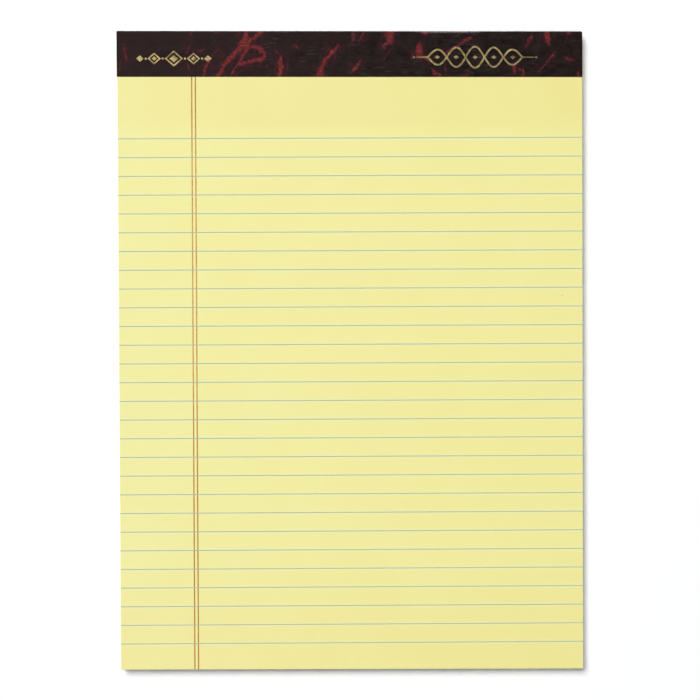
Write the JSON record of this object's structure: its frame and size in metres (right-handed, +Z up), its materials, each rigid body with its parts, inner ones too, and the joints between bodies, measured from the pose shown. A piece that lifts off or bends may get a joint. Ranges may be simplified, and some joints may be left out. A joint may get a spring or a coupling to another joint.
{
  "type": "writing pad",
  "caption": "Letter-size ruled yellow writing pad with a stiff chipboard back, its sheets stapled at the head under a dark marbled binding tape.",
  "frame": {"origin": "centre of the pad's outline, on the surface it lies on", "axes": "+X across the sheet to the reader's right, +Y along the sheet to the bound head, +Z up out of the ruled side"},
  "size_m": [0.216, 0.2972, 0.0072],
  "materials": {
    "ruled_paper": "smooth uncoated yellow paper",
    "chipboard": "matte grey-brown recycled board",
    "marbled_tape": "leather-grained satin, near black with dark red marbling",
    "staple_wire": "galvanised flat wire"
  },
  "bodies": {
    "root": {"page_block": "ruled_paper", "backing_board": "chipboard", "binding_tape": "marbled_tape", "wire_staples": "staple_wire"}
  },
  "joints": []
}
